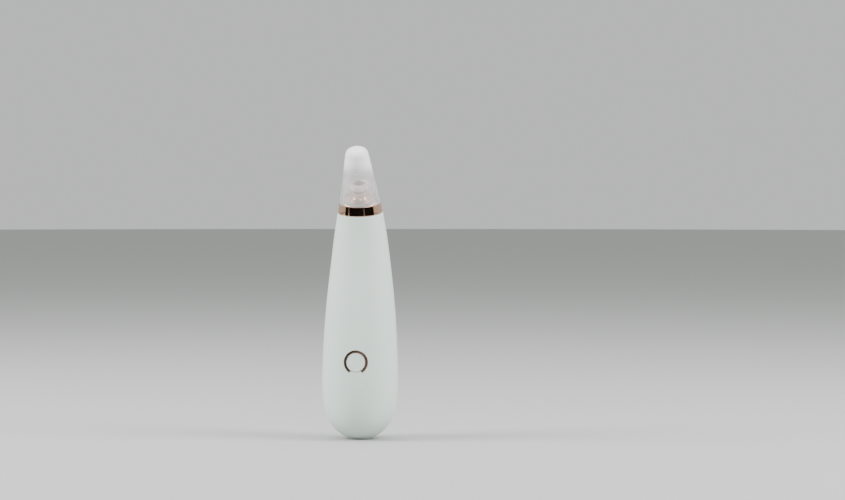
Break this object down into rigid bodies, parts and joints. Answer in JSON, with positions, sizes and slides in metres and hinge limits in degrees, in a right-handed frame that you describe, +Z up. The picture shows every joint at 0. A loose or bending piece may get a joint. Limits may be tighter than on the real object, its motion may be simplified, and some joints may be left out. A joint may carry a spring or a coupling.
{
  "type": "pore vacuum",
  "caption": "Teardrop handheld pore vacuum with a tilted suction probe under a clear cap, a plated collar and a round button, complete with board, cell and diaphragm pump.",
  "frame": {"origin": "centre of the flat foot, on the surface it stands on", "axes": "+Z up along the handle, -Y the front with the button, +X to the right of a person facing the front"},
  "size_m": [0.0456, 0.0457, 0.1757],
  "materials": {
    "casing_white": "satin white moulded plastic",
    "silicone_white": "matt silicone rubber",
    "rose_gold": "rose-gold plated plastic, mirror",
    "rose_gold_satin": "rose-gold plated plastic, satin",
    "clear_cap": "clear moulded plastic",
    "clear_probe": "clear moulded plastic, slightly milky",
    "probe_silicone": "soft translucent silicone",
    "sponge": "open-cell foam",
    "seal_black": "black nitrile rubber",
    "rubber_grey": "grey silicone rubber",
    "board_green": "solder-mask green, glass-fibre board",
    "chip_black": "black epoxy packages",
    "led_clear": "clear epoxy over a yellow die",
    "switch_black": "black nylon",
    "steel": "zinc-plated steel",
    "steel_bright": "ground steel",
    "cell_sleeve": "shrink-wrapped cell, blue sleeve",
    "nickel": "nickel plate",
    "frame_grey": "dark grey moulded plastic",
    "nylon_white": "natural nylon",
    "nylon_black": "black nylon",
    "bronze": "oil-filled sintered bronze",
    "magnet": "sintered ferrite",
    "carbon": "copper-graphite",
    "laminations": "stacked silicon-steel laminations",
    "copper": "enamelled copper wire",
    "foam_black": "closed-cell foam sleeve",
    "hose_clear": "milky silicone tube",
    "wire_red": "red wire insulation",
    "wire_black": "black wire insulation"
  },
  "bodies": {
    "casing": {"front_shell": "casing_white", "rear_shell": "casing_white", "foot_pad": "silicone_white", "collar_ring": "rose_gold", "head_gasket": "seal_black", "head_base": "rose_gold_satin", "spigot": "rose_gold", "probe_seal": "silicone_white", "filter_sponge": "sponge", "button_bezel": "rose_gold_satin", "tact_switch": "switch_black", "main_board": "board_green", "board_chips": "chip_black", "indicator_leds": "led_clear", "board_screws": "steel", "charge_board": "board_green", "charge_screws": "steel", "charge_socket": "nickel", "socket_tongue": "switch_black", "battery_cell": "cell_sleeve", "cell_terminal": "nickel", "chassis": "frame_grey", "chassis_screws": "steel", "motor_can": "steel_bright", "motor_end_cap": "nylon_black", "motor_terminals": "nickel", "motor_bushes": "bronze", "motor_magnets": "magnet", "motor_brushes": "carbon", "crankcase": "nylon_black", "pump_diaphragm": "rubber_grey", "valve_seat": "nylon_white", "valve_flaps": "rubber_grey", "pump_cover": "nylon_black", "pump_screws": "steel", "pump_sleeve": "foam_black", "air_hose": "hose_clear", "cell_lead_red": "wire_red", "cell_lead_black": "wire_black", "motor_lead_red": "wire_red", "motor_lead_black": "wire_black", "charge_leads": "wire_red"},
    "cap": {"dust_cap": "clear_cap"},
    "probe": {"probe_bell": "clear_probe", "probe_lip": "probe_silicone"},
    "button": {"button_cap": "casing_white"},
    "plunger": {"switch_plunger": "switch_black"},
    "rotor": {"motor_shaft": "steel_bright", "rotor_stack": "laminations", "rotor_coils": "copper", "commutator": "copper", "crank_wheel": "nylon_white", "crank_pin": "steel_bright"},
    "swing": {"swing_frame": "nylon_white"}
  },
  "joints": [
    {"name": "probe_pull", "type": "slide", "parent": "casing", "child": "probe", "axis": [0, -0.4617, 0.887], "range_m": [0, 0.01]},
    {"name": "cap_pull", "type": "slide", "parent": "probe", "child": "cap", "axis": [0, -0.4617, 0.887], "range_m": [0, 0.045]},
    {"name": "button_press", "type": "slide", "parent": "casing", "child": "button", "axis": [0, 1, 0], "range_m": [0, 0.0003], "stiffness_N_per_m": 2000, "springref_m": -0.0003},
    {"name": "plunger_press", "type": "slide", "parent": "casing", "child": "plunger", "axis": [0, 1, 0], "range_m": [0, 0.0003]},
    {"name": "rotor_spin", "type": "hinge", "parent": "casing", "child": "rotor", "pos_m": [0, 0.0028, 0.09], "axis": [0, 0, 1], "continuous": true},
    {"name": "swing_rock", "type": "hinge", "parent": "casing", "child": "swing", "pos_m": [0, 0.0028, 0.1115], "axis": [1, 0, 0], "range_deg": [-3, 3], "stiffness_Nm_per_rad": 0.02}
  ],
  "couplings": [
    {"joint": "plunger_press", "follows": "button_press", "ratio": 1}
  ]
}
